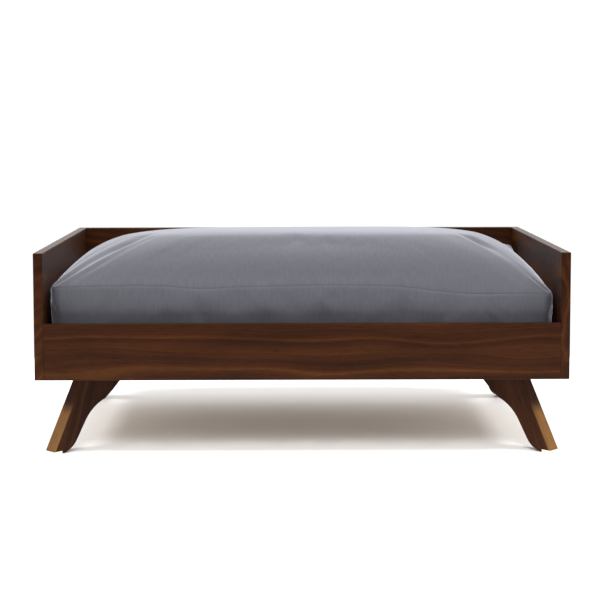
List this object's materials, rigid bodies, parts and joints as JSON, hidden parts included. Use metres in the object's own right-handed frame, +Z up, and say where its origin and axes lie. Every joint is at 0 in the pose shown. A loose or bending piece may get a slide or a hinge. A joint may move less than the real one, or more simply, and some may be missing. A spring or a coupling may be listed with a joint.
{
  "type": "dog bed with frame",
  "caption": "Low rectangular walnut pet bed: high sides and back, a lower front rail, splayed cusped legs and a loose crowned box cushion with a zipped cover on a slatted deck.",
  "frame": {"origin": "on the floor, under the middle of the box", "axes": "+X along the width, to the right of someone facing the bed; +Y from front to back; +Z up"},
  "size_m": [0.914, 0.584, 0.373],
  "materials": {
    "walnut": "solid walnut, oiled, low sheen",
    "deck_wood": "planed softwood, unfinished",
    "dowel_beech": "turned beech, unfinished",
    "steel": "zinc plated, satin",
    "brass": "turned, satin",
    "zinc": "die-cast zinc, nickel plated",
    "glide_nylon": "moulded nylon",
    "cover_fabric": "plain woven polyester, brushed",
    "insert_fabric": "nonwoven inner case over polyester fibre",
    "zip_fabric": "woven zip tape",
    "zip_nylon": "nylon coil"
  },
  "bodies": {
    "frame": {"back_panel": "walnut", "cam_locks": "zinc", "cam_studs": "steel", "cleat_back": "deck_wood", "cleat_front": "deck_wood", "cleat_left": "deck_wood", "cleat_right": "deck_wood", "cleat_screws": "steel", "corner_dowels": "dowel_beech", "front_rail": "walnut", "glide_back_left": "glide_nylon", "glide_back_right": "glide_nylon", "glide_front_left": "glide_nylon", "glide_front_right": "glide_nylon", "glide_nails": "steel", "leg_back_left": "walnut", "leg_back_right": "walnut", "leg_board_left": "deck_wood", "leg_board_right": "deck_wood", "leg_board_screws": "steel", "leg_bolt_washers": "steel", "leg_bolts": "steel", "leg_front_left": "walnut", "leg_front_right": "walnut", "leg_inserts": "brass", "side_panel_left": "walnut", "side_panel_right": "walnut", "slat_1": "deck_wood", "slat_2": "deck_wood", "slat_3": "deck_wood", "slat_4": "deck_wood", "slat_5": "deck_wood", "slat_6": "deck_wood", "slat_7": "deck_wood", "slat_8": "deck_wood", "slat_9": "deck_wood", "slat_screws": "steel"},
    "cushion": {"cushion_cover": "cover_fabric", "cushion_insert": "insert_fabric", "zip_tape": "zip_fabric", "zip_coil": "zip_nylon", "zip_stops": "zinc"},
    "slider": {"zip_slider": "zinc"},
    "pull": {"zip_pull": "zinc"}
  },
  "joints": [
    {"name": "cushion_lift", "type": "slide", "parent": "frame", "child": "cushion", "axis": [0, 0, 1], "range_m": [0, 0.3]},
    {"name": "zip_slide", "type": "slide", "parent": "cushion", "child": "slider", "axis": [-1, 0, 0], "range_m": [0, 0.65]},
    {"name": "zip_pull_swing", "type": "hinge", "parent": "slider", "child": "pull", "pos_m": [0.3224, 0.2644, 0.236], "axis": [0, 0, -1], "range_deg": [0, 22]}
  ]
}
